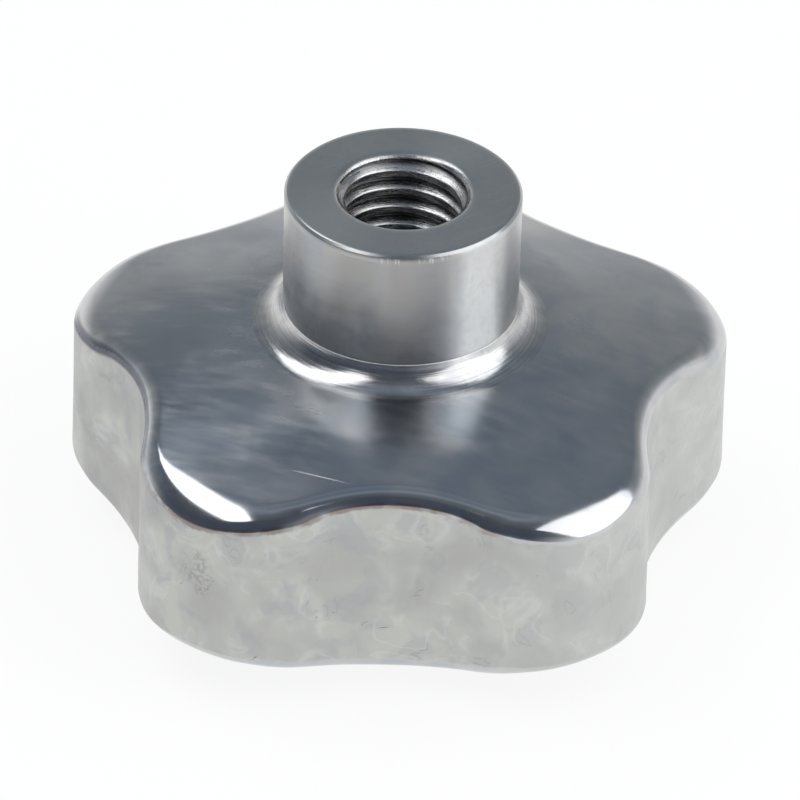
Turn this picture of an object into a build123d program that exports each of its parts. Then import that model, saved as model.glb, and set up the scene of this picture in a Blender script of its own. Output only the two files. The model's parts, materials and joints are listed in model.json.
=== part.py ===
from build123d import *
import math
import os

# Five-lobe star knob: one aluminium casting with a turned boss and a tapped blind hole.
# It stands on its crown. The origin is the centre of the crown's flat and +Z runs up to the
# boss. One lobe points along +Y, so a valley faces -Y. Lengths are in millimetres.

# --- star outline, seen along the axis, at the level of the crown's flat ---
LOBES = 5
HEAD_DIA = 40.6            # over the lobe tips
VALLEY_DIA = 32.3          # of the circle that touches the bottoms of the valleys
LOBE_RADIUS = 7.3          # rounding of a lobe's tip
WALL_DRAFT = 1.0           # degrees by which the wall leans in towards the boss side

# --- section of the head ---
TOTAL_HEIGHT = 24.5        # from the crown's flat to the end face of the boss
CROWN_FLAT_DIA = 12.0      # the flat that it stands on
CROWN_DOME_RADIUS = 60.0
CROWN_RIM_RADIUS = 3.0     # turned-over rim of the blank, on the crown side
CROWN_EDGE_FILLET = 1.3    # between the crown and the star wall
FACE_DEPTH = 8.75          # from the end face of the boss down to the apex of the domed face
FACE_DOME_RADIUS = 80.0
FACE_RIM_RADIUS = 4.2      # turned-over rim of the blank, on the boss side
FACE_EDGE_FILLET = 0.75    # between the face and the star wall
RIM_OVERHANG = 0.9         # by which the round blank is larger in radius than the lobe tips

# --- boss ---
BOSS_DIA = 13.8
BOSS_ROOT_FILLET = 1.65
BOSS_EDGE_BEVEL = 0.15

# --- tapped blind hole, M8 coarse, modelled at its core diameter without the helix ---
THREAD_MAJOR_DIA = 8.0
THREAD_CORE_DIA = 6.8      # as the tap drill leaves it
THREAD_LENGTH = 13.5       # of full thread, from the end face
TAP_RUNOUT = 3.5           # drilled depth beyond the full thread
DRILL_POINT_ANGLE = 118.0
MOUTH_CLEARANCE = 0.5      # by which the countersink's diameter passes the major diameter
MOUTH_ANGLE = 90.0

# --- clearance of a cutting solid beyond the surface that it cuts ---
CUT_MARGIN = 1.0


def polar(radius, degrees):
    """The point of the XY plane at a radius and an angle from +X."""
    angle = math.radians(degrees)
    return Vector(radius * math.cos(angle), radius * math.sin(angle))


def star_outline(grow):
    """The closed star outline, moved outwards by grow: tangent arcs, lobe and valley in turn."""
    half_step = 180.0 / LOBES
    lobe_centre = HEAD_DIA / 2 - LOBE_RADIUS
    valley_bottom = VALLEY_DIA / 2
    # The valley's arc touches both lobes beside it, which sets its radius
    cosine = math.cos(math.radians(half_step))
    numerator = LOBE_RADIUS**2 - valley_bottom**2 - lobe_centre**2 + 2 * valley_bottom * lobe_centre * cosine
    valley_radius = numerator / (2 * valley_bottom - 2 * lobe_centre * cosine - 2 * LOBE_RADIUS)
    valley_centre = valley_bottom + valley_radius
    touch = LOBE_RADIUS + grow
    arcs = []
    for lobe in range(LOBES):
        axis = 90.0 + 2 * half_step * lobe
        centre = polar(lobe_centre, axis)
        before = centre + (polar(valley_centre, axis - half_step) - centre).normalized() * touch
        after = centre + (polar(valley_centre, axis + half_step) - centre).normalized() * touch
        next_centre = polar(lobe_centre, axis + 2 * half_step)
        next_before = next_centre + (polar(valley_centre, axis + half_step) - next_centre).normalized() * touch
        arcs.append(ThreePointArc(before, polar(HEAD_DIA / 2 + grow, axis), after))
        arcs.append(ThreePointArc(after, polar(valley_bottom + grow, axis + half_step), next_before))
    return arcs


def star_prism():
    """The star outline carried up the axis with the wall's draft."""
    slope = math.tan(math.radians(WALL_DRAFT))
    outline = make_face(star_outline(CUT_MARGIN * slope))
    height = TOTAL_HEIGHT + 2 * CUT_MARGIN
    return Pos(0, 0, -CUT_MARGIN) * extrude(outline, height, taper=WALL_DRAFT)


def sphere_height(radius, dome_radius):
    """How far a dome has dropped from its apex at a distance from the axis."""
    return dome_radius - math.sqrt(dome_radius**2 - radius**2)


def blank():
    """The round blank: crown, rim, face and boss, turned about the axis."""
    boss_radius = BOSS_DIA / 2
    rim_radius = HEAD_DIA / 2 + RIM_OVERHANG
    flat_radius = CROWN_FLAT_DIA / 2
    face_apex = TOTAL_HEIGHT - FACE_DEPTH
    crown_apex = -sphere_height(flat_radius, CROWN_DOME_RADIUS)

    def on_crown(radius):
        return (radius, crown_apex + sphere_height(radius, CROWN_DOME_RADIUS))

    def on_face(radius):
        return (radius, face_apex - sphere_height(radius, FACE_DOME_RADIUS))

    middle_crown = (flat_radius + rim_radius) / 2
    middle_face = (boss_radius + rim_radius) / 2
    outline = [
        Line((0, 0), (flat_radius, 0)),
        ThreePointArc((flat_radius, 0), on_crown(middle_crown), on_crown(rim_radius)),
        Line(on_crown(rim_radius), on_face(rim_radius)),
        ThreePointArc(on_face(rim_radius), on_face(middle_face), on_face(boss_radius)),
        Line(on_face(boss_radius), (boss_radius, TOTAL_HEIGHT)),
        Line((boss_radius, TOTAL_HEIGHT), (0, TOTAL_HEIGHT)),
        Line((0, TOTAL_HEIGHT), (0, 0)),
    ]
    section = make_face(outline)

    def corner(point):
        return section.vertices().sort_by_distance((point[0], point[1], 0))[0]

    section = fillet(corner(on_crown(rim_radius)), CROWN_RIM_RADIUS)
    section = fillet(corner(on_face(rim_radius)), FACE_RIM_RADIUS)
    section = fillet(corner(on_face(boss_radius)), BOSS_ROOT_FILLET)
    section = chamfer(corner((boss_radius, TOTAL_HEIGHT)), BOSS_EDGE_BEVEL)
    return revolve(Plane.YZ * section, Axis.Z)


def star_edges(solid):
    """The edges where the star wall meets the face and the crown: the two lists, in that order."""
    def is_wall(face):
        centre = face.center()
        return face.geom_type == GeomType.CONE and math.hypot(centre.X, centre.Y) > BOSS_DIA / 2

    wall_edges = []
    other_edges = []
    for face in solid.faces():
        (wall_edges if is_wall(face) else other_edges).extend(face.edges())
    shared = [edge for edge in other_edges if any(edge.is_same(other) for other in wall_edges)]
    middle = (TOTAL_HEIGHT - FACE_DEPTH) / 2
    upper = ShapeList([edge for edge in shared if edge.center().Z > middle])
    lower = ShapeList([edge for edge in shared if edge.center().Z < middle])
    return upper, lower


def head_and_boss():
    """The blank cut to the star outline, with the edges of its wall rounded."""
    solid = blank() & star_prism()
    solid = fillet(star_edges(solid)[0], FACE_EDGE_FILLET)
    return fillet(star_edges(solid)[1], CROWN_EDGE_FILLET)


def drilled_hole():
    """The hole at the thread's core diameter, with its conical point and its countersunk mouth."""
    radius = THREAD_CORE_DIA / 2
    bottom = TOTAL_HEIGHT - THREAD_LENGTH - TAP_RUNOUT
    point = radius / math.tan(math.radians(DRILL_POINT_ANGLE / 2))
    mouth_slope = math.tan(math.radians(MOUTH_ANGLE / 2))
    mouth_radius = (THREAD_MAJOR_DIA + MOUTH_CLEARANCE) / 2
    mouth_depth = (mouth_radius - radius) / mouth_slope
    section = make_face(
        Polyline(
            (0, TOTAL_HEIGHT + CUT_MARGIN),
            (mouth_radius + CUT_MARGIN * mouth_slope, TOTAL_HEIGHT + CUT_MARGIN),
            (radius, TOTAL_HEIGHT - mouth_depth),
            (radius, bottom),
            (0, bottom - point),
            close=True,
        )
    )
    return revolve(Plane.YZ * section, Axis.Z)


os.makedirs("parts", exist_ok=True)
export_step(head_and_boss() - drilled_hole(), "parts/knob_body.step")
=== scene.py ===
import json
import math

import bmesh
import bpy
import numpy as np
from mathutils import Matrix, Vector, noise


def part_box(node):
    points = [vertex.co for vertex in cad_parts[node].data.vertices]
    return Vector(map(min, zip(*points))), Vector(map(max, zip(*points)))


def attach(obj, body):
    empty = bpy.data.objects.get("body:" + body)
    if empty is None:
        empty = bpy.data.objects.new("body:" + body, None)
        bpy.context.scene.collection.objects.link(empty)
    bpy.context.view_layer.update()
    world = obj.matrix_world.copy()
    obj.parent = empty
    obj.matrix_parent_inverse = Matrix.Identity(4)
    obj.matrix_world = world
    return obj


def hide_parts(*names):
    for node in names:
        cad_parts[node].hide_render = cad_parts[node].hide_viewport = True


# A five-lobe star knob: one aluminium casting that stands on its crown, with a turned boss and a
# tapped hole. The mesh follows the CAD solid knob_body and adds what that leaves out: the helix of
# the thread, its worn lip, the skin of the casting and the marks of wear. It departs from the solid
# by up to 0.33 mm outside the hole: in the rounder edge between face and star wall, the slight rise
# of the face round the boss, and the flatter root fillet. Mesh work is in millimetres.

MM = 0.001
NODE = "knob_body"

# --- star outline, as in the CAD ---
LOBES = 5
HEAD_DIA = 40.6
VALLEY_DIA = 32.3
LOBE_RADIUS = 7.3
WALL_DRAFT = math.radians(1.0)

# --- section of the head; the face's edge is rounder here than in the CAD ---
CROWN_FLAT_DIA = 12.0
CROWN_DOME = 60.0
CROWN_RIM = 3.0
CROWN_EDGE = 1.3
FACE_DEPTH = 8.75
FACE_DOME = 80.0
FACE_RIM = 4.2
FACE_EDGE = 1.25           # in the valleys
LOBE_EDGE = 2.4            # at the lobe tips
RIM_OVERHANG = 0.9

# --- boss: root fillet as in the CAD and as shown here, and the rise of the face round it ---
BOSS_DIA = 13.8
BOSS_ROOT = 1.65
ROOT_FLARE = 2.1
SWELL_HEIGHT = 0.26
SWELL_START = 17.0
SWELL_FULL = 8.6
BOSS_BEVEL = 0.15
FOOT_GROOVE = [(0.01, 0.02), (0.02, 0.06), (0.0, 0.12)]    # as (depth, height above the foot)

# --- tapped hole ---
THREAD_MAJOR_DIA = 8.0
THREAD_PITCH = 1.25
THREAD_LENGTH = 13.5
THREAD_FADE = 2.5
THREAD_ANGLE = math.radians(60.0)
CREST_SOFTNESS = 0.08      # rounding of crests and roots, as a share of a flank
THREAD_LIFT = 0.65         # moves the helix up, so that its crests lie as in the photo
MOUTH_DIA = 8.5
# Rows of the mesh across one pitch, as shares of it from the middle of a crest
THREAD_STEPS = [-0.40, -0.30, -0.21, -0.165, -0.13, -0.06, 0.06, 0.13, 0.165, 0.21, 0.30, 0.40, 0.46, 0.54]
# The lip of the mouth as (radius, depth): the countersink is worn to a soft round
LIP = [(4.25, 0.0), (4.12, 0.015), (4.00, 0.05), (3.91, 0.11), (3.84, 0.19), (3.80, 0.28)]
LIP_SLOPE = 1.2
HOLE_END = 7.5             # height of the drilled hole's shoulder
DRILL_POINT = math.radians(118.0)

# --- wear on the face: scratches as (start, end, width) in the XY plane, pale and dark ---
PALE_SCRATCHES = [
    ((-6.40, -13.65), (-1.90, -15.15), 0.055),
    ((-10.41, -9.24), (-7.65, -10.85), 0.028),
    ((6.86, -12.04), (8.40, -10.30), 0.020),
    ((8.60, -9.90), (9.90, -8.50), 0.018),
    ((-9.10, -9.90), (-6.60, -11.30), 0.022),
]
DARK_SCRATCHES = [
    ((-14.25, -8.80), (-13.75, -9.20), 0.050),
    ((-5.50, -11.80), (-5.05, -12.10), 0.070),
    ((13.20, -0.60), (13.60, -1.10), 0.045),
    ((-13.60, 2.50), (-12.70, 3.00), 0.060),
]

# Darker patches of the face, as (centre, reach, share): the broad first one on the left and the last one,
# in front on the left, are painted shade
DARK_PATCHES = [
    ((-13.0, -2.0), 7.0, 0.8),
    ((-9.3, -8.7), 2.6, 0.9),
    ((-6.0, -11.8), 2.6, 0.9),
    ((-8.9, 1.9), 1.6, 0.6),
    ((4.0, -9.6), 2.6, 0.9),
    ((-12.2, -10.6), 4.2, 1.0),
]
# From the first X to the second, on the left, the rim's shine comes to end higher up and the painted shade
# over the left valley comes in
LEFT_SIDE = (-11.0, -14.0)
WORN_SHIFT = -0.22
# Down from the first height to the second the dull skin comes to cover the crown's edge
LOW_EDGE = (2.6, 1.6)
LOW_SHIFT = -0.5
# Parts of the rim's lower edge, as the X or Y between which its brown darkening fades in, and, over the
# left valley, its painted shade
BROWN_EDGE_X = (7.0, 5.0)
BROWN_EDGE_Y = (-10.0, -12.0)
LEFT_SHADE_Y = ((5.0, 2.5), (-12.0, -10.5))

# --- wear on the wall: dark hair marks as (angle, height) of both ends, in degrees and mm ---
HAIR_MARKS = [
    ((-126.0, 8.61), (-126.2, 8.00), 0.050),
    ((-126.2, 8.00), (-127.2, 7.63), 0.050),
    ((-102.7, 9.72), (-102.8, 9.42), 0.035),
    ((-102.8, 9.42), (-103.6, 9.38), 0.035),
    ((-114.0, 3.69), (-113.1, 3.92), 0.050),
    ((-92.6, 4.93), (-89.8, 5.01), 0.035),
    ((-104.5, 12.44), (-103.7, 12.36), 0.040),
    ((-104.2, 6.12), (-104.0, 6.20), 0.090),
    ((-101.3, 6.25), (-101.1, 6.30), 0.090),
    ((-73.9, 8.10), (-72.7, 7.80), 0.045),
    ((-72.7, 7.80), (-73.3, 7.62), 0.045),
]
SMUDGE = ((-11.1, -16.8, 8.9), (1.5, 1.5, 1.9))    # as (centre, reach)
FOLD_Z = 6.0               # under this height the wall has more pale folds

# --- unevenness of the casting: depth and breadth of its waves and dents ---
WAVE_DEPTH = 0.09
WAVE_BREADTH = 5.0
DENT_DEPTH = 0.02
DENT_BREADTH = 1.9
EVEN_ROUND_BOSS = 2.5      # no unevenness this far out from the boss
EVEN_FADE = 3.0            # over which it comes in
FLAT_FADE = 0.5            # height over which it comes in above the flat

# --- fineness of the mesh ---
COLUMNS = 360
THREAD_COLUMNS = COLUMNS // 2
SKELETON_INSET = 5.0
RIM_RAYS = 700
RIM_ROWS = 90
CURVE_WEIGHT = 4.0
MERGE = 0.0005             # points closer than this become one
SLACK = 0.01               # play when a row's place is compared

# --- colours of the metal, of what lies on it, and of painted shade and sheen ---
TONE = {
    "face low": (0.51, 0.52, 0.535),
    "face high": (0.575, 0.575, 0.57),
    "face patch": (0.44, 0.47, 0.51),
    "face smear": (0.64, 0.65, 0.66),
    "face dark patch": (0.39, 0.42, 0.46),
    "pale scratch": (0.88, 0.88, 0.88),
    "dark scratch": (0.20, 0.20, 0.22),
    "wall low": (0.485, 0.49, 0.47),
    "wall high": (0.55, 0.56, 0.53),
    "wall lilac": (0.43, 0.43, 0.455),
    "wall lit side": (0.63, 0.645, 0.635),
    "wall grain": (0.50, 0.50, 0.49),
    "wall fold": (0.66, 0.67, 0.65),
    "wall crease": (0.38, 0.38, 0.38),
    "wall speck": (0.22, 0.215, 0.21),
    "wall hair": (0.12, 0.12, 0.13),
    "wall foot shade": (0.36, 0.36, 0.355),
    "rim brown edge": (0.20, 0.15, 0.13),
    "rim painted shade": (0.10, 0.11, 0.14),
    "root low": (0.46, 0.465, 0.475),
    "root high": (0.60, 0.60, 0.59),
    "boss low": (0.39, 0.41, 0.435),
    "boss high": (0.48, 0.485, 0.485),
    "boss warm": (0.50, 0.475, 0.44),
    "boss painted shade": (0.28, 0.305, 0.335),
    "boss middle shade": (0.33, 0.33, 0.33),
    "boss painted sheen": (0.64, 0.65, 0.65),
    "boss tick": (0.70, 0.70, 0.69),
    "boss foot": (0.80, 0.79, 0.77),
    "end low": (0.465, 0.485, 0.485),
    "end high": (0.525, 0.54, 0.535),
    "end mottle": (0.44, 0.455, 0.46),
    "end score": (0.62, 0.635, 0.63),
    "thread crest": (0.58, 0.58, 0.575),
    "thread root shade": (0.09, 0.09, 0.09),
    "thread torn": (0.14, 0.14, 0.14),
}

# --- roughness, from one end of each material's noise to the other ---
ROUGH = {
    "face": (0.21, 0.28),
    "rim": (0.09, 0.15),
    "wall": (0.48, 0.38),
    "root": (0.11, 0.22),
    "boss": (0.20, 0.27),
    "end": (0.34, 0.28),
    "thread": (0.14, 0.30),
}
SCRATCH_ROUGH = 0.62

# --- depth of the bump relief in millimetres ---
RELIEF = {"face": 0.004, "wall": 0.045, "root": 0.012, "boss": 0.004, "end": 0.0018, "thread": 0.018}

# --- how strongly turning smears the gloss across its grooves ---
GROOVES = {"root": 0.4, "boss": 0.9, "end": 0.6}

# --- steepness, as the upward part of the normal: face to rim, and rim to dull wall ---
RIM_STEEP = (0.984, 0.968)
WALL_STEEP = (0.24, 0.08)

# --- sides of the boss: each edge as the two angles from +X, in radians, between which a tint comes
# or goes. The tints are placed to agree with the photo from its own side: the darker foot and middle
# are painted shade and the pale side a painted sheen ---
SHADED_FOOT = (-0.95, -1.2)
SHADED_MIDDLE = ((-1.75, -1.6), (-1.05, -1.2))
SHEEN_SIDE = ((-1.10, -0.95), (-0.45, -0.6))
TICKED = ((-1.85, -1.7), (-1.1, -1.3))

# --- stage and lamps: softboxes as three corner directions, seen from the knob ---
FLOOR_SIZE = 3.0           # metres from the middle to an edge
FLOOR_GAP = 0.02           # millimetres under the knob
FLOOR_COLOUR = (0.9, 0.9, 0.9)
FLOOR_GLOW = 0.88
SOFTBOX_DISTANCE = 0.8
SOFTBOX_LEFT = ((-0.33, 0.74, 1), (-0.42, -0.80, 1), (-0.757, 0.812, 1))
LEFT_RADIANCE = 2.6
SOFTBOX_RIGHT = ((1, 0.28, 0.22), (1, -0.72, 0.22), (1, 0.45, 2.0))
RIGHT_RADIANCE = 1.6
FILL_HEIGHT = 1.6
FILL_SIZE = 2.4
FILL_ENERGY = 15.0

# --- colours of the tent by height: 0 is the horizon, 1 straight up ---
BEHIND = [
    (0.0, (0.95, 0.95, 0.95)),
    (0.2, (0.60, 0.61, 0.63)),
    (0.34, (0.385, 0.405, 0.42)),
    (0.45, (0.32, 0.34, 0.355)),
    (0.55, (0.26, 0.285, 0.305)),
    (0.65, (0.19, 0.22, 0.26)),
    (1.0, (0.20, 0.24, 0.295)),
]
BEFORE = [
    (0.0, (0.28, 0.28, 0.30)),
    (0.12, (0.105, 0.12, 0.155)),
    (0.35, (0.08, 0.10, 0.14)),
    (0.7, (0.10, 0.11, 0.13)),
    (0.90, (0.16, 0.185, 0.22)),
    (0.97, (0.30, 0.34, 0.40)),
    (1.0, (0.20, 0.24, 0.295)),
]
RIGHT = [
    (0.0, (1.15, 1.18, 1.22)),
    (0.2, (0.85, 0.88, 0.92)),
    (0.4, (0.33, 0.35, 0.39)),
    (1.0, (0.20, 0.24, 0.295)),
]
# Between these X the front turns to the right, and between these Y both turn to the back
TO_RIGHT = (0.1, 0.95)
TO_BACK = (-0.15, 0.6)

# --- camera: lens, distance and aim in millimetres ---
CAMERA_AZIMUTH = math.radians(0.288)
CAMERA_ELEVATION = math.radians(35.028)
CAMERA_ROLL = math.radians(1.5335)
CAMERA_DISTANCE = 376.6
CAMERA_AIM = (0.119, 0.0, 9.734)
CAMERA_LENS = 286.64


# ===== The solid's form =====

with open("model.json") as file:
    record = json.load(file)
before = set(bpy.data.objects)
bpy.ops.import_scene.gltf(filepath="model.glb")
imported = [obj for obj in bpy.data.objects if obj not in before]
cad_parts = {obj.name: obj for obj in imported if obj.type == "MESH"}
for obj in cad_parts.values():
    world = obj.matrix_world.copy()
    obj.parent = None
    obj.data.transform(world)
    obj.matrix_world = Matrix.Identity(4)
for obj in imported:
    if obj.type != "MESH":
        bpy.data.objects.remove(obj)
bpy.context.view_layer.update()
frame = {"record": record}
low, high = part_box(NODE)
mounts = {mount["name"]: mount for mount in frame["record"]["mounts"]}

FLOOR_Z = low.z / MM
TOP_Z = high.z / MM
FACE_APEX = TOP_Z - FACE_DEPTH
CORE_RADIUS = mounts["thread"]["dims"]["r_mm"]
MIDDLE_Z = (FACE_APEX + FLOOR_Z) / 2
THREAD_END = TOP_Z - THREAD_LENGTH - THREAD_FADE


def drop(radius, dome):
    """How far a dome has dropped from its apex at a distance from the axis."""
    return dome - np.sqrt(dome**2 - radius**2)


CROWN_APEX = FLOOR_Z - drop(CROWN_FLAT_DIA / 2, CROWN_DOME)


def swell(radius):
    """How far the face stands up round the boss, above its dome."""
    share = np.clip((SWELL_START - radius) / (SWELL_START - SWELL_FULL), 0, 1)
    return SWELL_HEIGHT * share * share * (3 - 2 * share)


def star_wall(x, y, z):
    """Distance to the drafted star wall, positive outside, and its unit normal."""
    half = math.pi / LOBES
    lobe_centre = HEAD_DIA / 2 - LOBE_RADIUS
    valley_bottom = VALLEY_DIA / 2
    numerator = LOBE_RADIUS**2 - valley_bottom**2 - lobe_centre**2
    numerator += 2 * valley_bottom * lobe_centre * math.cos(half)
    valley_radius = numerator / (2 * valley_bottom - 2 * lobe_centre * math.cos(half) - 2 * LOBE_RADIUS)
    valley_x = (valley_bottom + valley_radius) * math.cos(half)
    valley_y = (valley_bottom + valley_radius) * math.sin(half)

    # Folded into one half lobe: u runs along the lobe's axis, v towards the valley
    angle = np.arctan2(y, x) - math.pi / 2
    folded = (angle + half) % (2 * half) - half
    radius = np.hypot(x, y)
    u = radius * np.cos(folded)
    v = np.abs(radius * np.sin(folded))
    side = (valley_x - lobe_centre) * v - valley_y * (u - lobe_centre)
    on_lobe = side < 0
    lobe_u, lobe_v = u - lobe_centre, v
    valley_u, valley_v = valley_x - u, valley_y - v
    to_lobe = np.hypot(lobe_u, lobe_v)
    to_valley = np.hypot(valley_u, valley_v)
    flat_distance = np.where(on_lobe, to_lobe - LOBE_RADIUS, valley_radius - to_valley)
    normal_u = np.where(on_lobe, lobe_u / to_lobe, valley_u / to_valley)
    normal_v = np.where(on_lobe, lobe_v / to_lobe, valley_v / to_valley) * np.sign(folded)
    turn = angle - folded + math.pi / 2
    normal_x = normal_u * np.cos(turn) - normal_v * np.sin(turn)
    normal_y = normal_u * np.sin(turn) + normal_v * np.cos(turn)
    distance = (flat_distance + (z - FLOOR_Z) * math.tan(WALL_DRAFT)) * math.cos(WALL_DRAFT)
    outward = math.cos(WALL_DRAFT)
    upward = np.full_like(normal_x, math.sin(WALL_DRAFT))
    return distance, np.stack([normal_x * outward, normal_y * outward, upward], -1)


def dome_and_rim(radius, height, dome, rim):
    """Distance to a dome whose apex is at height 0 and that turns down into a rounded rim."""
    rim_r = HEAD_DIA / 2 + RIM_OVERHANG - rim
    rim_h = -dome + math.sqrt((dome - rim) ** 2 - rim_r**2)
    beyond = radius * (rim_h + dome) - rim_r * (height + dome) > 0
    centre_r = np.where(beyond, rim_r, 0.0)
    centre_h = np.where(beyond, np.minimum(height, rim_h), -dome)
    size = np.where(beyond, rim, dome)
    length = np.hypot(radius - centre_r, height - centre_h)
    return length - size, (radius - centre_r) / length, (height - centre_h) / length


def blank(x, y, z):
    """Distance to the turned blank's crown, rims and face, and its unit normal."""
    radius = np.hypot(x, y)
    upper = z > MIDDLE_Z
    face = dome_and_rim(radius, z - FACE_APEX, FACE_DOME, FACE_RIM)
    crown = dome_and_rim(radius, CROWN_APEX - z, CROWN_DOME, CROWN_RIM)
    distance = np.where(upper, face[0], crown[0])
    outward = np.where(upper, face[1], crown[1])
    upward = np.where(upper, face[2], -crown[2])
    return distance, np.stack([outward * x / radius, outward * y / radius, upward], -1)


def head(x, y, z):
    """Distance to the head: the blank cut to the star, with a rolling-ball round on the edges."""
    a, normal_a = blank(x, y, z)
    b, normal_b = star_wall(x, y, z)
    lobe = np.clip((np.hypot(x, y) - VALLEY_DIA / 2) / (HEAD_DIA / 2 - VALLEY_DIA / 2), 0, 1)
    face_edge = FACE_EDGE + (LOBE_EDGE - FACE_EDGE) * lobe * lobe * (3 - 2 * lobe)
    ball = np.where(z > MIDDLE_Z, face_edge, CROWN_EDGE)
    cosine = np.clip((normal_a * normal_b).sum(-1), -0.95, 0.95)
    u, v = a + ball, b + ball
    sine2 = 1 - cosine**2
    along_a = u - cosine * v
    along_b = v - cosine * u
    rounded = np.sqrt(np.maximum(u * u + v * v - 2 * u * v * cosine, 0) / sine2) - ball
    return np.where(along_a <= 0, b, np.where(along_b <= 0, a, rounded))


def wall_radius(angles):
    """Distance from the axis to the star wall at mid height."""
    near = np.full_like(angles, VALLEY_DIA / 2 - SKELETON_INSET)
    far = np.full_like(angles, HEAD_DIA / 2)
    middle_z = np.full_like(angles, MIDDLE_Z)
    for _ in range(30):
        middle = (near + far) / 2
        inside = star_wall(middle * np.cos(angles), middle * np.sin(angles), middle_z)[0] < 0
        near = np.where(inside, middle, near)
        far = np.where(inside, far, middle)
    return near


def rim_section(angles):
    """From under the head round its edge to its face: radius and height, rows by columns."""
    start_r = wall_radius(angles) - SKELETON_INSET
    start_z = MIDDLE_Z
    tilt = np.linspace(-math.pi / 2, math.pi / 2, RIM_RAYS)[:, None]
    near = np.zeros((RIM_RAYS, len(angles)))
    far = near + 2 * (FACE_APEX - FLOOR_Z)
    for _ in range(32):
        reach = (near + far) / 2
        radius = start_r + reach * np.cos(tilt)
        height = start_z + reach * np.sin(tilt)
        inside = head(radius * np.cos(angles), radius * np.sin(angles), height) < 0
        near = np.where(inside, reach, near)
        far = np.where(inside, far, reach)
    radius = start_r + near * np.cos(tilt)
    height = start_z + near * np.sin(tilt)
    step_r, step_z = np.diff(radius, axis=0), np.diff(height, axis=0)
    direction = np.unwrap(np.arctan2(step_z, step_r), axis=0)
    bend = np.abs(np.diff(direction, axis=0, prepend=direction[:1]))
    weight = np.hypot(step_r, step_z) + CURVE_WEIGHT * bend
    along = np.vstack([np.zeros(len(angles)), np.cumsum(weight, axis=0)])
    share = np.linspace(0, 1, RIM_ROWS)
    rows = np.empty((RIM_ROWS, len(angles), 2))
    for column in range(len(angles)):
        at = along[:, column] / along[-1, column]
        rows[:, column, 0] = np.interp(share, at, radius[:, column])
        rows[:, column, 1] = np.interp(share, at, height[:, column])
    return rows


def crown_section(rim_start):
    """From near the axis out over the crown to the first row of the rim."""
    flat = CROWN_FLAT_DIA / 2
    rows = []
    for radius in np.linspace(1.0, flat, 6):
        rows.append((np.full_like(rim_start, radius), np.full_like(rim_start, FLOOR_Z)))
    for share in np.linspace(0, 1, 12)[1:-1]:
        radius = flat + (rim_start - flat) * share
        rows.append((radius, CROWN_APEX + drop(radius, CROWN_DOME)))
    return np.array(rows).transpose(0, 2, 1)


def face_section(rim_end, root_radius):
    """From the last row of the rim in over the face to the root fillet."""
    rows = []
    for share in np.linspace(0, 1, 16)[1:]:
        radius = rim_end + (root_radius - rim_end) * share
        rows.append((radius, FACE_APEX - drop(radius, FACE_DOME)))
    return np.array(rows).transpose(0, 2, 1)


# The foot of the boss, where the CAD's fillet begins
FOOT_Z = FACE_APEX - FACE_DOME + math.sqrt((FACE_DOME + BOSS_ROOT) ** 2 - (BOSS_DIA / 2 + BOSS_ROOT) ** 2)


def turned_profile():
    """Root fillet, boss, bevel, end face and the top of the mouth, as points (radius, height).

    The cylinder ends where the CAD's fillet begins; the fillet under it is a little flatter."""
    boss = BOSS_DIA / 2
    sphere_z = FACE_APEX + SWELL_HEIGHT - FACE_DOME
    # Centre of the flare: it passes through the foot and touches the dome
    near, far = boss, boss + 2 * ROOT_FLARE
    for _ in range(40):
        centre_r = (near + far) / 2
        centre_z = sphere_z + math.sqrt((FACE_DOME + ROOT_FLARE) ** 2 - centre_r**2)
        if math.hypot(centre_r - boss, centre_z - FOOT_Z) < ROOT_FLARE:
            near = centre_r
        else:
            far = centre_r
    first = math.atan2(sphere_z - centre_z, -centre_r) + 2 * math.pi
    last = math.atan2(FOOT_Z - centre_z, boss - centre_r) + 2 * math.pi
    points = []
    for angle in np.linspace(first, last, 16):
        points.append((centre_r + ROOT_FLARE * math.cos(angle), centre_z + ROOT_FLARE * math.sin(angle)))
    for depth, height in FOOT_GROOVE:
        points.append((boss - depth, FOOT_Z + height))
    for height in np.linspace(FOOT_Z + 0.16, TOP_Z - BOSS_BEVEL, 20):
        points.append((boss, height))
    for share in (0.15, 0.5, 0.85):
        points.append((boss - BOSS_BEVEL * share, TOP_Z - BOSS_BEVEL * (1 - share)))
    for radius in np.linspace(boss - BOSS_BEVEL, MOUTH_DIA / 2, 12)[:-1]:
        points.append((radius, TOP_Z))
    for radius, depth in LIP[:-1]:
        points.append((radius, TOP_Z - depth))
    return points


def thread_radius(turn, height):
    """Radius of the hole's wall: turn is the share of a pitch past the middle of a crest."""
    depth = THREAD_MAJOR_DIA / 2 - CORE_RADIUS
    flank = depth * math.tan(THREAD_ANGLE / 2) / THREAD_PITCH
    root = 1 / 8
    crest = 1 - root - 2 * flank
    distance = np.abs((turn + 0.5) % 1.0 - 0.5)
    share = (distance - crest / 2) / flank
    rise = 0.5 * (share + np.sqrt(share**2 + CREST_SOFTNESS**2))
    cut = 0.5 * (rise + 1 - np.sqrt((rise - 1) ** 2 + CREST_SOFTNESS**2))
    fade = np.clip((height - THREAD_END) / THREAD_FADE, 0, 1)
    cone = LIP[-1][0] - (TOP_Z - LIP[-1][1] - height) * LIP_SLOPE
    return np.maximum(CORE_RADIUS + depth * np.clip(cut, 0, 1) * fade, cone)


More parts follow.
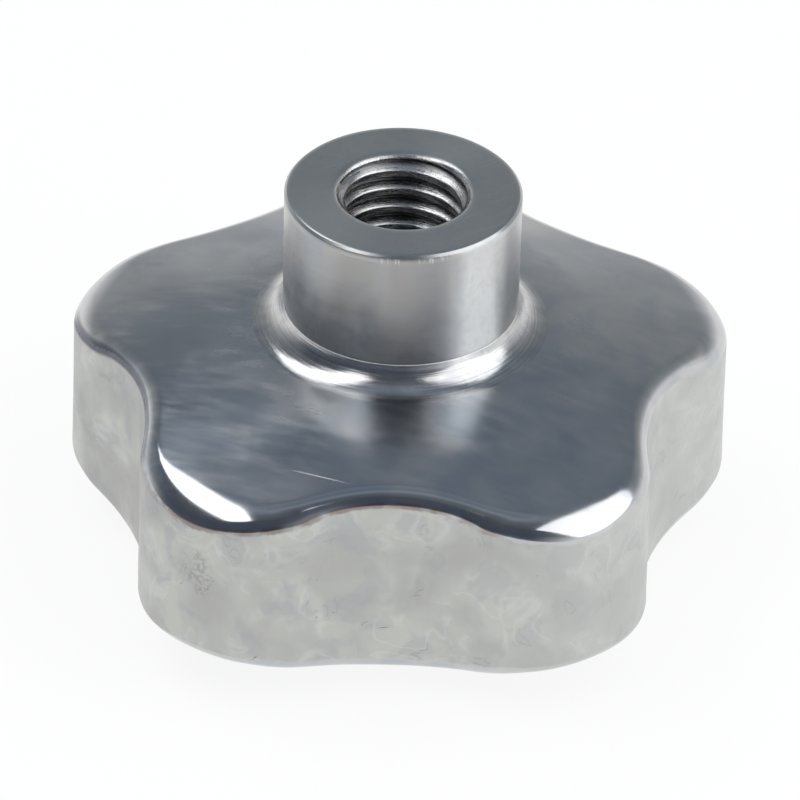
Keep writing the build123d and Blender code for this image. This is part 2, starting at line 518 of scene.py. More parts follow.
def thread_section():
    """The tapped wall as rows that follow the helix; the last column meets the first one pitch up."""
    top = TOP_Z - LIP[-1][1]
    first = math.floor(THREAD_END / THREAD_PITCH) - 2
    last = math.ceil(top / THREAD_PITCH) + 1
    levels = np.array([turn + step for turn in range(first, last + 1) for step in THREAD_STEPS])
    angles = np.arange(THREAD_COLUMNS) * 2 * math.pi / THREAD_COLUMNS
    height = THREAD_LIFT + THREAD_PITCH * (levels[:, None] + angles[None, :] / (2 * math.pi))
    turn = np.broadcast_to(levels[:, None], height.shape)
    height = np.clip(height, THREAD_END, top)
    radius = thread_radius(turn, height)
    radius = np.where(height >= top, LIP[-1][0], radius)
    radius = np.where(height <= THREAD_END, CORE_RADIUS, radius)
    return np.stack([radius, height], -1)


# ===== The mesh =====

SKIN, ROOT, TURNED, FACED, TAPPED = range(5)


class Builder:
    """Collects vertices, and faces with the index of their material."""

    def __init__(self):
        self.points = []
        self.faces = []
        self.finish = []

    def add_grid(self, section):
        """Adds rows by columns of (radius, height) over a full turn, and gives their numbers."""
        rows, columns = section.shape[:2]
        angles = np.arange(columns) * 2 * math.pi / columns
        first = len(self.points)
        x = section[..., 0] * np.cos(angles)
        y = section[..., 0] * np.sin(angles)
        self.points.extend(np.stack([x, y, section[..., 1]], -1).reshape(-1, 3))
        return first + np.arange(rows * columns).reshape(rows, columns)

    def add_point(self, height):
        self.points.append(np.array((0.0, 0.0, height)))
        return len(self.points) - 1

    def add_face(self, corners, finish):
        self.faces.append([int(corner) for corner in corners])
        self.finish.append(finish)

    def skin_rows(self, numbers, finishes, wrap=0):
        """Quads between neighbouring rows; wrap is how many rows up the last column meets the first."""
        rows, columns = numbers.shape
        for row in range(rows - 1):
            for column in range(columns):
                following = (column + 1) % columns
                lift = wrap if column == columns - 1 else 0
                if row + 1 + lift >= rows:
                    continue
                corners = (
                    numbers[row, column],
                    numbers[row + lift, following],
                    numbers[row + 1 + lift, following],
                    numbers[row + 1, column],
                )
                self.add_face(corners, finishes[row])

    def fan(self, point, ring, finish):
        for column in range(len(ring)):
            self.add_face((point, ring[(column + 1) % len(ring)], ring[column]), finish)

    def halve(self, fine, coarse, finish):
        """Triangles between a ring and one with half as many points."""
        for column in range(len(coarse)):
            left, right = coarse[column], coarse[(column + 1) % len(coarse)]
            start, middle = fine[2 * column], fine[2 * column + 1]
            end = fine[(2 * column + 2) % len(fine)]
            self.add_face((start, middle, left), finish)
            self.add_face((middle, right, left), finish)
            self.add_face((middle, end, right), finish)


def knob_mesh():
    """The whole knob's points and faces, with the number of each face's material."""
    angles = np.arange(COLUMNS) * 2 * math.pi / COLUMNS
    rim = rim_section(angles)
    profile = turned_profile()
    crown = crown_section(rim[0, :, 0])
    face = face_section(rim[-1, :, 0], profile[0][0])
    rim[..., 1] += np.where(rim[..., 1] > FACE_APEX / 2, swell(rim[..., 0]), 0)
    face[..., 1] += swell(face[..., 0])
    turned = np.repeat(np.array(profile[1:])[:, None, :], COLUMNS, axis=1)
    section = np.vstack([crown, rim, face, turned])
    cast_rows = len(crown) + len(rim) + len(face) - 1

    builder = Builder()
    outer = builder.add_grid(section)
    finishes = []
    for row in range(len(section)):
        height = section[row, 0, 1]
        if row < cast_rows:
            finishes.append(SKIN)
        elif height < FOOT_Z - SLACK:
            finishes.append(ROOT)
        elif section[row, 0, 0] < LIP[2][0] + SLACK:
            finishes.append(TAPPED)
        else:
            finishes.append(FACED if height >= TOP_Z - BOSS_BEVEL else TURNED)
    builder.skin_rows(outer, finishes)
    builder.fan(builder.add_point(FLOOR_Z), outer[0], SKIN)

    thread = thread_section()
    tapped = builder.add_grid(thread)
    builder.skin_rows(tapped, [TAPPED] * len(thread), wrap=len(THREAD_STEPS))
    builder.halve(outer[-1], tapped[-1], TAPPED)

    hole = [(CORE_RADIUS, height) for height in np.linspace(THREAD_END, HOLE_END, 3)]
    point_depth = CORE_RADIUS / math.tan(DRILL_POINT / 2)
    hole += [(CORE_RADIUS * (1 - share), HOLE_END - point_depth * share) for share in (0.3, 0.6, 0.9)]
    drilled = builder.add_grid(np.repeat(np.array(hole)[:, None, :], THREAD_COLUMNS, axis=1))
    builder.skin_rows(drilled[::-1], [TAPPED] * len(hole))
    builder.fan(builder.add_point(HOLE_END - point_depth), drilled[-1], TAPPED)
    return builder


def sunk(place, normal):
    """A place of the cast skin moved inwards by the casting's unevenness."""
    radius = math.hypot(place.x, place.y)
    waves = 0.5 + 0.5 * noise.noise(place / WAVE_BREADTH)
    dents = 0.5 + 0.5 * noise.noise(place / DENT_BREADTH + Vector((40, 0, 0)))
    depth = WAVE_DEPTH * waves + DENT_DEPTH * dents * (0.4 if normal.z > 0.6 else 1.0)
    off_boss = min(max((radius - BOSS_DIA / 2 - EVEN_ROUND_BOSS) / EVEN_FADE, 0.0), 1.0)
    off_flat = min(max((place.z - FLOOR_Z) / FLAT_FADE, 0.0), 1.0)
    return place - normal * depth * off_boss * off_flat


def make_knob(materials):
    """The knob as one smooth object, its cast skin made uneven."""
    builder = knob_mesh()
    mesh = bpy.data.meshes.new("knob")
    mesh.from_pydata([Vector(point) * MM for point in builder.points], [], builder.faces)
    for material in materials:
        mesh.materials.append(material)
    mesh.polygons.foreach_set("material_index", builder.finish)
    mesh.update()
    work = bmesh.new()
    work.from_mesh(mesh)
    bmesh.ops.remove_doubles(work, verts=work.verts, dist=MERGE * MM)
    bmesh.ops.recalc_face_normals(work, faces=work.faces)
    work.normal_update()
    skin = []
    for vertex in work.verts:
        if all(face.material_index == SKIN for face in vertex.link_faces):
            skin.append(vertex)
    places = [sunk(vertex.co / MM, vertex.normal) for vertex in skin]
    for vertex, place in zip(skin, places):
        vertex.co = place * MM
    for face in work.faces:
        face.smooth = True
    work.to_mesh(mesh)
    work.free()
    knob = bpy.data.objects.new("knob", mesh)
    bpy.context.scene.collection.objects.link(knob)
    return knob


# ===== Materials =====

class Graph:
    """A material's nodes, made by calls that take sockets or plain values and give a socket."""

    def __init__(self, name):
        self.material = bpy.data.materials.new(name)
        self.material.use_nodes = True
        self.nodes = self.material.node_tree.nodes
        self.links = self.material.node_tree.links
        self.shader = self.nodes["Principled BSDF"]
        self.shader.inputs["Metallic"].default_value = 1.0
        where = self.nodes.new("ShaderNodeTexCoord").outputs["Object"]
        self.place = self.vector("MULTIPLY", where, (1 / MM, 1 / MM, 1 / MM))
        split = self.nodes.new("ShaderNodeSeparateXYZ")
        self.put(split.inputs[0], self.place)
        self.x, self.y, self.z = split.outputs
        self.radius = self.vector("LENGTH", self.vector("MULTIPLY", self.place, (1, 1, 0)))
        self.angle = self.math("ARCTAN2", self.y, self.x)

    def put(self, socket, value):
        if isinstance(value, bpy.types.NodeSocket):
            self.links.new(value, socket)
        else:
            socket.default_value = value

    def math(self, operation, a, b=0.0, clamp=False):
        node = self.nodes.new("ShaderNodeMath")
        node.operation = operation
        node.use_clamp = clamp
        self.put(node.inputs[0], a)
        self.put(node.inputs[1], b)
        return node.outputs[0]

    def times(self, *values):
        """The product of the values."""
        product = values[0]
        for value in values[1:]:
            product = self.math("MULTIPLY", product, value)
        return product

    def vector(self, operation, a, b=(0.0, 0.0, 0.0)):
        node = self.nodes.new("ShaderNodeVectorMath")
        node.operation = operation
        self.put(node.inputs[0], a)
        self.put(node.inputs["Scale" if operation == "SCALE" else 1], b)
        return node.outputs["Value" if operation in ("LENGTH", "DOT_PRODUCT") else "Vector"]

    def combine(self, x, y, z):
        node = self.nodes.new("ShaderNodeCombineXYZ")
        for socket, value in zip(node.inputs, (x, y, z)):
            self.put(socket, value)
        return node.outputs[0]

    def noise(self, place, grain, detail=3.0, rough=0.55, twist=0.0):
        """Cloudy noise from 0 to 1 whose features are about grain millimetres across."""
        node = self.nodes.new("ShaderNodeTexNoise")
        self.put(node.inputs["Vector"], place)
        node.inputs["Scale"].default_value = 1 / grain
        node.inputs["Detail"].default_value = detail
        node.inputs["Roughness"].default_value = rough
        node.inputs["Distortion"].default_value = twist
        return node.outputs["Fac"]

    def fade(self, value, low, high, start=0.0, end=1.0):
        """A soft step: start below low, end above high."""
        node = self.nodes.new("ShaderNodeMapRange")
        node.interpolation_type = "SMOOTHSTEP"
        amounts = {"Value": value, "From Min": low, "From Max": high, "To Min": start, "To Max": end}
        for name, amount in amounts.items():
            self.put(node.inputs[name], amount)
        return node.outputs["Result"]

    def near(self, value, centre, outer, inner):
        """1 where the value lies within inner of the centre, 0 beyond outer."""
        return self.fade(self.math("ABSOLUTE", self.math("SUBTRACT", value, centre)), outer, inner)

    def mix(self, share, a, b):
        """Between colours a and b."""
        node = self.nodes.new("ShaderNodeMix")
        node.data_type = "RGBA"
        self.put(node.inputs["Factor"], share)
        self.put(node.inputs["A"], (*a, 1) if isinstance(a, tuple) else a)
        self.put(node.inputs["B"], (*b, 1) if isinstance(b, tuple) else b)
        return node.outputs["Result"]

    def blend(self, share, a, b):
        """Between numbers a and b."""
        node = self.nodes.new("ShaderNodeMix")
        self.put(node.inputs["Factor"], share)
        self.put(node.inputs["A"], a)
        self.put(node.inputs["B"], b)
        return node.outputs["Result"]

    def stretched(self, direction, along, across):
        """The place scaled so that noise runs in streaks along a direction in the XY plane."""
        turn = self.nodes.new("ShaderNodeMapping")
        turn.inputs["Rotation"].default_value = (0, 0, -math.radians(direction))
        self.put(turn.inputs["Vector"], self.place)
        return self.vector("MULTIPLY", turn.outputs[0], (1 / along, 1 / across, 1 / across))

    def mark(self, start, end, width):
        """1 on a thin straight mark from start to end, 0 away from it."""
        a, b = Vector(start), Vector(end)
        run = b - a
        from_start = self.vector("SUBTRACT", self.place, tuple(a))
        along = self.vector("DOT_PRODUCT", from_start, tuple(run))
        share = self.math("MULTIPLY", along, 1 / run.length_squared, True)
        nearest = self.nodes.new("ShaderNodeVectorMath")
        nearest.operation = "MULTIPLY"
        nearest.inputs[0].default_value = tuple(run)
        self.put(nearest.inputs[1], self.combine(share, share, share))
        distance = self.vector("LENGTH", self.vector("SUBTRACT", from_start, nearest.outputs[0]))
        taper = self.times(self.fade(share, 0.0, 0.3), self.fade(share, 1.0, 0.5))
        return self.times(self.fade(distance, width, width * 0.3), taper)

    def bump(self, height, depth, after=None):
        """Relief: height from 0 to 1 over depth in millimetres."""
        node = self.nodes.new("ShaderNodeBump")
        node.inputs["Distance"].default_value = depth * MM
        self.put(node.inputs["Height"], height)
        if after is not None:
            self.put(node.inputs["Normal"], after)
        return node.outputs[0]

    def finish(self, colour, roughness, normal):
        self.put(self.shader.inputs["Base Color"], colour)
        self.put(self.shader.inputs["Roughness"], roughness)
        self.put(self.shader.inputs["Normal"], normal)
        return self.material


def on_face(x, y):
    """The point of the face above a place in the XY plane."""
    radius = math.hypot(x, y)
    return (x, y, FACE_APEX - float(drop(radius, FACE_DOME)) + float(swell(radius)))


def on_wall(degrees, height):
    """The point of the star wall at an angle from +X and a height."""
    angle = math.radians(degrees)
    radius = float(wall_radius(np.array([angle]))[0])
    return (radius * math.cos(angle), radius * math.sin(angle), height)


def all_marks(g, onto, marks):
    """1 on any of the marks, given as (start, end, width) and laid on the surface by onto."""
    found = None
    for start, end, width in marks:
        line = g.mark(onto(*start), onto(*end), width)
        found = line if found is None else g.math("MAXIMUM", found, line)
    return found


def cast_face(g, steep):
    """Colour, roughness and relief of the tumbled face, rim and crown."""
    clouds = g.noise(g.place, 5.0, 2, 0.45, 0.6)
    patches = g.fade(g.noise(g.vector("ADD", g.place, (31, 7, 0)), 3.4, 2, 0.5, 0.8), 0.42, 0.7)
    smears = g.noise(g.stretched(-20, 3.2, 0.8), 1.0, 4, 0.55)
    streaks = g.noise(g.stretched(-24, 9.0, 0.6), 1.0, 2, 0.5)
    fine = g.noise(g.stretched(12, 6.0, 0.16), 1.0, 2, 0.5)
    colour = g.mix(g.fade(clouds, 0.3, 0.7), TONE["face low"], TONE["face high"])
    colour = g.mix(g.times(patches, 0.7), colour, TONE["face patch"])
    colour = g.mix(g.fade(smears, 0.5, 0.75, 0, 0.25), colour, TONE["face smear"])
    ragged = g.times(g.math("SUBTRACT", smears, 0.5), 1.6)
    # The broad first patch on the left and the last one, in front on the left, are painted shade
    for (x, y), reach, share in DARK_PATCHES:
        away = g.vector("LENGTH", g.vector("SUBTRACT", g.place, on_face(x, y)))
        away = g.math("ADD", g.times(away, 1 / reach), ragged)
        colour = g.mix(g.fade(away, 1.0, 0.3, 0, share), colour, TONE["face dark patch"])
    polish = g.math("ADD", clouds, g.times(streaks, 0.5))
    dull = g.fade(polish, 0.5, 1.0, *ROUGH["face"])
    dull = g.math("ADD", dull, g.fade(smears, 0.45, 0.7, 0.0, 0.04))
    bright = g.fade(polish, 0.5, 1.0, *ROUGH["rim"])
    roughness = g.blend(g.fade(steep, *RIM_STEEP), dull, bright)
    pale = all_marks(g, on_face, PALE_SCRATCHES)
    dark = all_marks(g, on_face, DARK_SCRATCHES)
    roughness = g.blend(pale, roughness, SCRATCH_ROUGH)
    colour = g.mix(g.times(pale, 0.85), colour, TONE["pale scratch"])
    colour = g.mix(g.times(dark, 0.75), colour, TONE["dark scratch"])
    relief = g.math("ADD", g.times(streaks, 0.5), g.times(fine, 0.06))
    return colour, roughness, relief


def cast_wall(g):
    """Colour, roughness and relief of the dull wall: pale haze, lilac patches, folds and specks."""
    haze = g.noise(g.place, 4.2, 3, 0.5, 0.5)
    veils = g.noise(g.vector("ADD", g.place, (5, 40, 3)), 2.6, 2, 0.5, 0.8)
    grain = g.noise(g.place, 0.45, 3, 0.6)
    patch = g.noise(g.vector("ADD", g.place, (90, 4, 8)), 2.3, 3, 0.5, 0.4)
    colour = g.mix(g.fade(haze, 0.35, 0.65), TONE["wall low"], TONE["wall high"])
    colour = g.mix(g.fade(patch, 0.50, 0.60, 0, 0.55), colour, TONE["wall lilac"])
    # Painted light: the wall grows paler towards +X
    colour = g.mix(g.fade(g.x, 2.0, 17.0, 0, 0.5), colour, TONE["wall lit side"])
    colour = g.mix(g.fade(grain, 0.35, 0.75, 0, 0.3), colour, TONE["wall grain"])
    fold = g.near(veils, 0.5, 0.05, 0.0)
    low_wall = g.fade(g.z, FOLD_Z, 0.0, 0.0, 0.12)
    fold = g.times(fold, g.fade(g.math("ADD", haze, low_wall), 0.48, 0.58))
    colour = g.mix(g.times(fold, 0.35), colour, TONE["wall fold"])
    crease = g.near(veils, 0.6, 0.012, 0.0)
    crease = g.times(crease, g.fade(patch, 0.48, 0.56))
    colour = g.mix(g.times(crease, 0.35), colour, TONE["wall crease"])
    specks = g.noise(g.place, 0.24, 2, 0.6)
    strewn = g.fade(g.noise(g.vector("ADD", g.place, (17, 9, 60)), 3.0, 2), 0.56, 0.7)
    speck = g.times(g.fade(specks, 0.68, 0.76), strewn)
    centre, reach = SMUDGE
    offset = g.vector("SUBTRACT", g.place, centre)
    near = g.vector("LENGTH", g.vector("MULTIPLY", offset, tuple(1 / size for size in reach)))
    torn = g.noise(g.vector("MULTIPLY", g.place, (1.0, 1.0, 0.6)), 1.1, 3, 0.6)
    inside = g.fade(g.math("ADD", near, g.times(torn, 2.2)), 2.1, 1.3)
    smudge = g.times(inside, g.fade(specks, 0.40, 0.62))
    speck = g.math("MAXIMUM", speck, g.times(smudge, 0.6))
    colour = g.mix(g.times(speck, 0.7), colour, TONE["wall speck"])
    hairs = all_marks(g, on_wall, HAIR_MARKS)
    colour = g.mix(g.times(hairs, 0.8), colour, TONE["wall hair"])
    roughness = g.fade(g.math("ADD", haze, g.times(grain, 0.4)), 0.5, 0.9, *ROUGH["wall"])
    relief = g.math("ADD", g.times(veils, 0.6), g.times(grain, 0.18))
    relief = g.math("ADD", relief, g.times(fold, 0.1))
    relief = g.math("SUBTRACT", relief, g.times(g.math("MAXIMUM", speck, crease), 0.25))
    return colour, roughness, relief


def cast_skin():
    """The skin of the casting: tumbled bright on face, rim and crown, dull and cloudy on the wall."""
    g = Graph("cast_skin")
    normal = g.nodes.new("ShaderNodeNewGeometry").outputs["Normal"]
    steep = g.math("ABSOLUTE", g.vector("DOT_PRODUCT", normal, (0, 0, 1)))
    ragged = g.times(g.math("SUBTRACT", g.noise(g.place, 0.7, 3), 0.5), 0.3)
    worn_side = g.fade(g.x, *LEFT_SIDE, 0.0, WORN_SHIFT)
    low_edge = g.fade(g.z, *LOW_EDGE, 0.0, LOW_SHIFT)
    dulled = g.math("ADD", worn_side, low_edge)
    wall = g.fade(g.math("ADD", g.math("ADD", steep, dulled), ragged), *WALL_STEEP)
    face_colour, face_rough, face_height = cast_face(g, steep)
    wall_colour, wall_rough, wall_height = cast_wall(g)
    high = g.fade(g.z, TOP_Z / 3, TOP_Z / 2)
    # The lower edge of the rim is darkened brown over the front valley
    in_front = g.times(g.fade(g.x, *BROWN_EDGE_X), g.fade(g.y, *BROWN_EDGE_Y))
    blotches = g.fade(g.noise(g.place, 2.5, 3), 0.35, 0.55)
    edge = g.times(g.fade(steep, 0.50, 0.34), blotches, high, in_front)
    face_colour = g.mix(g.times(edge, 0.75), face_colour, TONE["rim brown edge"])
    # Painted shade darkens the rim's edge over the left valley
    on_left = g.times(g.fade(g.x, *LEFT_SIDE), g.fade(g.y, *LEFT_SHADE_Y[0]), g.fade(g.y, *LEFT_SHADE_Y[1]))
    rim_shade = g.times(g.near(steep, 0.42, 0.26, 0.08), on_left, high)
    # Painted shade: the wall and the crown's edge darken down towards the floor
    wall_colour = g.mix(g.fade(g.z, 2.2, 0.8, 0, 0.6), wall_colour, TONE["wall foot shade"])
    colour = g.mix(wall, face_colour, wall_colour)
    colour = g.mix(g.times(rim_shade, 0.85), colour, TONE["rim painted shade"])
    roughness = g.blend(wall, face_rough, wall_rough)
    relief = g.bump(g.times(face_height, g.math("SUBTRACT", 1.0, wall)), RELIEF["face"])
    relief = g.bump(g.times(wall_height, wall), RELIEF["wall"], relief)
    return g.finish(colour, roughness, relief)


def lathe_marks(g, along, grain):
    """Fine rings cut by the tool, a little uneven round the part."""
    place = g.combine(g.times(along, 1 / grain), g.times(g.angle, 0.6), 0.0)
    return g.noise(place, 1.0, 4, 0.7)


def lathe_finish(g, grooves, colour, roughness, relief):
    """Gloss smeared across the grooves of turning, which run round the axis."""
    g.shader.inputs["Anisotropic"].default_value = grooves
    g.shader.inputs["Anisotropic Rotation"].default_value = 0.25
    tangent = g.nodes.new("ShaderNodeTangent")
    tangent.direction_type = "RADIAL"
    tangent.axis = "Z"
    g.put(g.shader.inputs["Tangent"], tangent.outputs[0])
    return g.finish(colour, roughness, relief)


def root():
    """The polished fillet round the boss, with rings scratched into it."""
    g = Graph("root")
    along = g.math("SUBTRACT", g.z, g.radius)
    rings = lathe_marks(g, along, 0.14)
    coarse = lathe_marks(g, along, 0.45)
    clouds = g.noise(g.place, 1.5, 4, 0.6, 0.5)
    tone = g.fade(g.math("ADD", clouds, rings), 0.8, 1.2)
    colour = g.mix(tone, TONE["root low"], TONE["root high"])
    roughness = g.fade(g.math("ADD", rings, coarse), 0.8, 1.2, *ROUGH["root"])
    relief = g.math("ADD", g.times(rings, 0.5), coarse)
    return lathe_finish(g, GROOVES["root"], colour, roughness, g.bump(relief, RELIEF["root"]))


def sector(g, side):
    """1 on a side of the boss, given as where it starts and where it ends."""
    start, end = side
    return g.times(g.fade(g.angle, *start), g.fade(g.angle, *end))


def turned():
    """The turned boss, with painted shade and sheen on its sides and the ticks that the tool left at its
    top.
    """
    g = Graph("turned")
    rings = lathe_marks(g, g.z, 0.16)
    broad = lathe_marks(g, g.z, 1.4)
    bands = g.noise(g.combine(g.times(g.angle, 3.2), g.times(g.z, 0.12), 3.0), 1.0, 3, 0.6)
    clouds = g.noise(g.place, 2.2, 4, 0.6, 0.5)
    tone = g.math("ADD", clouds, g.times(rings, 0.4))
    colour = g.mix(g.fade(tone, 0.45, 0.95), TONE["boss low"], TONE["boss high"])
    colour = g.mix(g.fade(bands, 0.4, 0.62, 0, 0.5), colour, TONE["boss warm"])
    # Painted shade that thickens towards the foot on one side, painted shade in the middle, and a painted
    # sheen on one side, broken up by mottling
    foot_shade = g.times(g.fade(g.z, FOOT_Z + 5.5, FOOT_Z + 0.5), g.fade(g.angle, *SHADED_FOOT))
    colour = g.mix(g.times(foot_shade, 0.6), colour, TONE["boss painted shade"])
    colour = g.mix(g.times(sector(g, SHADED_MIDDLE), 0.55), colour, TONE["boss middle shade"])
    mottling = g.fade(g.noise(g.place, 0.6, 3, 0.6), 0.62, 0.5)
    sheen = g.times(sector(g, SHEEN_SIDE), g.blend(mottling, 0.8, 1.0))
    colour = g.mix(sheen, colour, TONE["boss painted sheen"])
    # Ticks of the tool just under the bevel, in front
    strokes = g.noise(g.combine(g.times(g.angle, 55.0), g.times(g.z, 0.6), 0.0), 1.0, 1, 0.5)
    near_top = g.fade(g.math("ADD", g.z, g.times(strokes, 0.8)), TOP_Z - 0.12, TOP_Z + 0.2)
    ticks = g.times(g.fade(strokes, 0.5, 0.6), near_top, sector(g, TICKED))
    colour = g.mix(g.times(ticks, 0.6), colour, TONE["boss tick"])
    colour = g.mix(g.fade(g.z, FOOT_Z + 0.10, FOOT_Z + 0.04), colour, TONE["boss foot"])
    roughness = g.fade(g.math("ADD", broad, clouds), 0.7, 1.3, *ROUGH["boss"])
    relief = g.bump(g.math("SUBTRACT", rings, g.times(ticks, 2.0)), RELIEF["boss"])
    return lathe_finish(g, GROOVES["boss"], colour, roughness, relief)


def faced():
    """The faced end of the boss, its bevel and the lip of the mouth."""
    g = Graph("faced")
    rings = lathe_marks(g, g.math("SUBTRACT", g.radius, g.z), 0.12)
    clouds = g.noise(g.place, 3.0, 4, 0.6, 0.5)
    mottle = g.noise(g.place, 0.5, 3, 0.6)
    scores = g.noise(g.stretched(35, 5.0, 0.12), 1.0, 2, 0.5)
    colour = g.mix(g.fade(clouds, 0.35, 0.7), TONE["end low"], TONE["end high"])
    colour = g.mix(g.fade(mottle, 0.5, 0.7, 0, 0.35), colour, TONE["end mottle"])
    colour = g.mix(g.fade(scores, 0.60, 0.72, 0, 0.5), colour, TONE["end score"])
    roughness = g.fade(clouds, 0.3, 0.7, *ROUGH["end"])
    relief = g.bump(g.math("ADD", rings, g.times(scores, 0.5)), RELIEF["end"])
    return lathe_finish(g, GROOVES["end"], colour, roughness, relief)


def tapped():
    """The tapped wall and its mouth: bright torn crests, and roots darkened by painted shade."""
    g = Graph("tapped")
    turn = g.math("SUBTRACT", g.times(g.z, 1 / THREAD_PITCH), g.times(g.angle, 0.5 / math.pi))
    run = g.combine(g.times(turn, 20.0), g.times(g.angle, 2.4), g.times(g.radius, 8.0))
    streaks = g.noise(run, 1.0, 4, 0.7)
    torn = g.noise(g.place, 0.3, 4, 0.7)
    # Painted shade: the roots of the thread darken below the lip
    depth = g.fade(g.radius, CORE_RADIUS + 0.1, THREAD_MAJOR_DIA / 2)
    depth = g.times(depth, g.fade(g.z, TOP_Z - 0.25, TOP_Z - 0.35))
    colour = g.mix(depth, TONE["thread crest"], TONE["thread root shade"])
    colour = g.mix(g.fade(g.math("ADD", torn, streaks), 0.95, 0.7), colour, TONE["thread torn"])
    roughness = g.fade(streaks, 0.3, 0.7, *ROUGH["thread"])
    relief = g.math("ADD", streaks, g.times(torn, 0.5))
    return g.finish(colour, roughness, g.bump(relief, RELIEF["thread"]))


# ===== Stage, light and camera =====

def make_floor():
    """A white floor that glows for camera, glossy and transmission rays and keeps some of the shadow."""
    mesh = bpy.data.meshes.new("floor")
    z = (FLOOR_Z - FLOOR_GAP) * MM
    corners = [(x * FLOOR_SIZE, y * FLOOR_SIZE, z) for x, y in ((-1, -1), (1, -1), (1, 1), (-1, 1))]
    mesh.from_pydata(corners, [], [(0, 1, 2, 3)])
    floor = bpy.data.objects.new("floor", mesh)
    bpy.context.scene.collection.objects.link(floor)
    material = bpy.data.materials.new("white_floor")
    material.use_nodes = True
    nodes, links = material.node_tree.nodes, material.node_tree.links
    nodes.clear()
    output = nodes.new("ShaderNodeOutputMaterial")
    mix = nodes.new("ShaderNodeMixShader")
    diffuse = nodes.new("ShaderNodeBsdfDiffuse")
    diffuse.inputs["Color"].default_value = (*FLOOR_COLOUR, 1)
    glow = nodes.new("ShaderNodeEmission")
    path = nodes.new("ShaderNodeLightPath")
    seen = path.outputs["Is Camera Ray"]
    for ray in ("Is Glossy Ray", "Is Transmission Ray"):
        either = nodes.new("ShaderNodeMath")
        either.operation = "MAXIMUM"
        links.new(seen, either.inputs[0])
        links.new(path.outputs[ray], either.inputs[1])
        seen = either.outputs[0]
    share = nodes.new("ShaderNodeMath")
    share.operation = "MULTIPLY"
    share.inputs[1].default_value = FLOOR_GLOW
    links.new(seen, share.inputs[0])
    links.new(share.outputs[0], mix.inputs["Fac"])
    links.new(diffuse.outputs[0], mix.inputs[1])
    links.new(glow.outputs[0], mix.inputs[2])
    links.new(mix.outputs[0], output.inputs["Surface"])
    mesh.materials.append(material)
    return floor


def add_softbox(name, directions, radiance):
    """A lamp that fills the parallelogram seen from the knob between three corner directions.

    The sides run from the first direction to the second and to the third; radiance is what a
    mirror would show of the lamp."""
    normal = (Vector(directions[1]) + Vector(directions[2])).normalized()
    corners = []
    for direction in directions:
        toward = Vector(direction).normalized()
        corners.append(toward * SOFTBOX_DISTANCE / toward.dot(normal))
    side = corners[1] - corners[0]
    rise = corners[2] - corners[0]
    across = side.normalized()
    upward = normal.cross(across)
    width, height = side.length, abs(rise.dot(upward))
    lamp = bpy.data.lights.new(name, "AREA")
    lamp.shape = "RECTANGLE"
    lamp.size = width
    lamp.size_y = height
    lamp.energy = radiance * math.pi * width * height
    holder = bpy.data.objects.new(name, lamp)
    basis = Matrix((across, upward, normal)).transposed().to_4x4()
    holder.matrix_world = Matrix.Translation((corners[1] + corners[2]) / 2) @ basis
    bpy.context.scene.collection.objects.link(holder)


def add_fill(name, height, size, energy):
    """A broad lamp overhead that brings the floor to its plain level and shows in no gloss."""
    lamp = bpy.data.lights.new(name, "AREA")
    lamp.size = size
    lamp.energy = energy
    holder = bpy.data.objects.new(name, lamp)
    holder.location = (0, 0, height)
    holder.visible_glossy = False
    bpy.context.scene.collection.objects.link(holder)


def colour_ramp(nodes, stops):
    """A ramp with (position, colour) stops in order."""
    ramp = nodes.new("ShaderNodeValToRGB")
    elements = ramp.color_ramp.elements
    elements[0].position, elements[0].color = stops[0][0], (*stops[0][1], 1)
    elements[1].position, elements[1].color = stops[-1][0], (*stops[-1][1], 1)
    for position, colour in stops[1:-1]:
        elements.new(position).color = (*colour, 1)
    return ramp


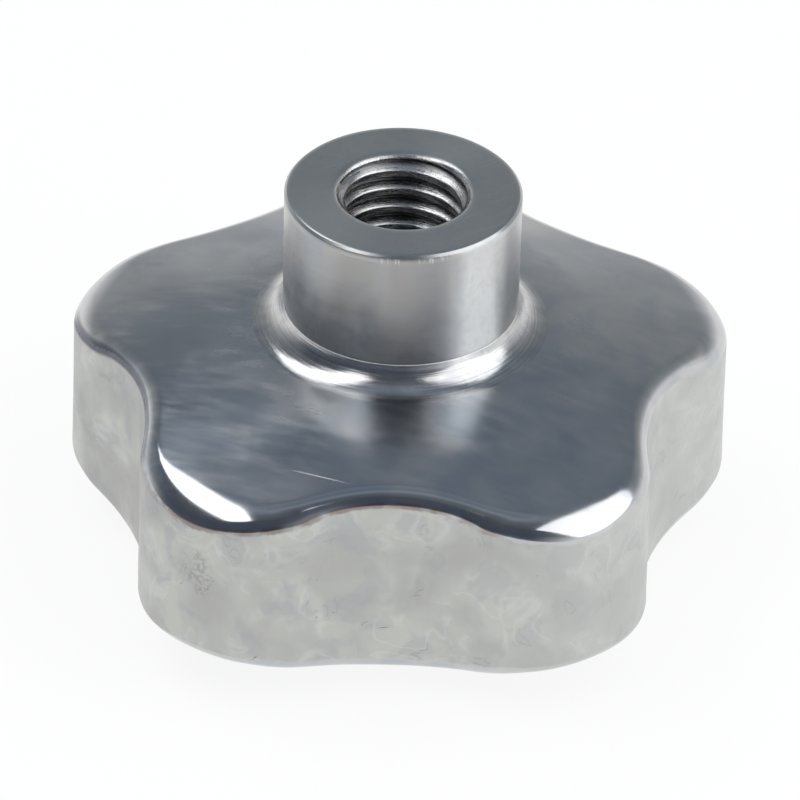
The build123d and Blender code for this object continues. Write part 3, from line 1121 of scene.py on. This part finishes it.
def make_world():
    """A dim tent, paler behind and to the right near the horizon, and white to the camera itself."""
    world = bpy.data.worlds.new("studio")
    bpy.context.scene.world = world
    world.use_nodes = True
    nodes, links = world.node_tree.nodes, world.node_tree.links
    nodes.clear()
    output = nodes.new("ShaderNodeOutputWorld")
    background = nodes.new("ShaderNodeBackground")
    where = nodes.new("ShaderNodeTexCoord")
    split = nodes.new("ShaderNodeSeparateXYZ")
    links.new(where.outputs["Generated"], split.inputs[0])

    def part(stops):
        ramp = colour_ramp(nodes, stops)
        links.new(split.outputs["Z"], ramp.inputs["Fac"])
        return ramp.outputs["Color"]

    def between(axis, start, end, a, b):
        share = nodes.new("ShaderNodeMapRange")
        share.interpolation_type = "SMOOTHSTEP"
        share.inputs["From Min"].default_value = start
        share.inputs["From Max"].default_value = end
        links.new(split.outputs[axis], share.inputs["Value"])
        mix = nodes.new("ShaderNodeMix")
        mix.data_type = "RGBA"
        links.new(share.outputs["Result"], mix.inputs["Factor"])
        links.new(a, mix.inputs["A"])
        links.new(b, mix.inputs["B"])
        return mix.outputs["Result"]

    before = between("X", *TO_RIGHT, part(BEFORE), part(RIGHT))
    tent = between("Y", *TO_BACK, before, part(BEHIND))
    path = nodes.new("ShaderNodeLightPath")
    seen = nodes.new("ShaderNodeMix")
    seen.data_type = "RGBA"
    links.new(path.outputs["Is Camera Ray"], seen.inputs["Factor"])
    links.new(tent, seen.inputs["A"])
    seen.inputs["B"].default_value = (1, 1, 1, 1)
    links.new(seen.outputs["Result"], background.inputs["Color"])
    links.new(background.outputs[0], output.inputs["Surface"])


def make_camera():
    """Above and in front of the knob, level apart from a slight roll."""
    back = Vector((
        math.sin(CAMERA_AZIMUTH) * math.cos(CAMERA_ELEVATION),
        -math.cos(CAMERA_AZIMUTH) * math.cos(CAMERA_ELEVATION),
        math.sin(CAMERA_ELEVATION),
    ))
    level = Vector((0, 0, 1)).cross(back).normalized()
    upright = back.cross(level)
    right = math.cos(CAMERA_ROLL) * level + math.sin(CAMERA_ROLL) * upright
    up = -math.sin(CAMERA_ROLL) * level + math.cos(CAMERA_ROLL) * upright
    camera = bpy.data.objects.new("camera", bpy.data.cameras.new("camera"))
    camera.data.lens = CAMERA_LENS
    camera.data.sensor_width = 36.0
    camera.data.clip_start = 0.01
    camera.data.clip_end = 20.0
    place = Vector(CAMERA_AIM) * MM + back * (CAMERA_DISTANCE * MM)
    basis = Matrix((right, up, back)).transposed().to_4x4()
    camera.matrix_world = Matrix.Translation(place) @ basis
    bpy.context.scene.collection.objects.link(camera)
    bpy.context.scene.camera = camera


bpy.context.scene.view_settings.view_transform = "Standard"
knob = make_knob([cast_skin(), root(), turned(), faced(), tapped()])
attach(knob, "root")
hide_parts(NODE)
make_floor()
make_world()
add_softbox("softbox_left", SOFTBOX_LEFT, LEFT_RADIANCE)
add_softbox("softbox_right", SOFTBOX_RIGHT, RIGHT_RADIANCE)
add_fill("fill", FILL_HEIGHT, FILL_SIZE, FILL_ENERGY)
make_camera()
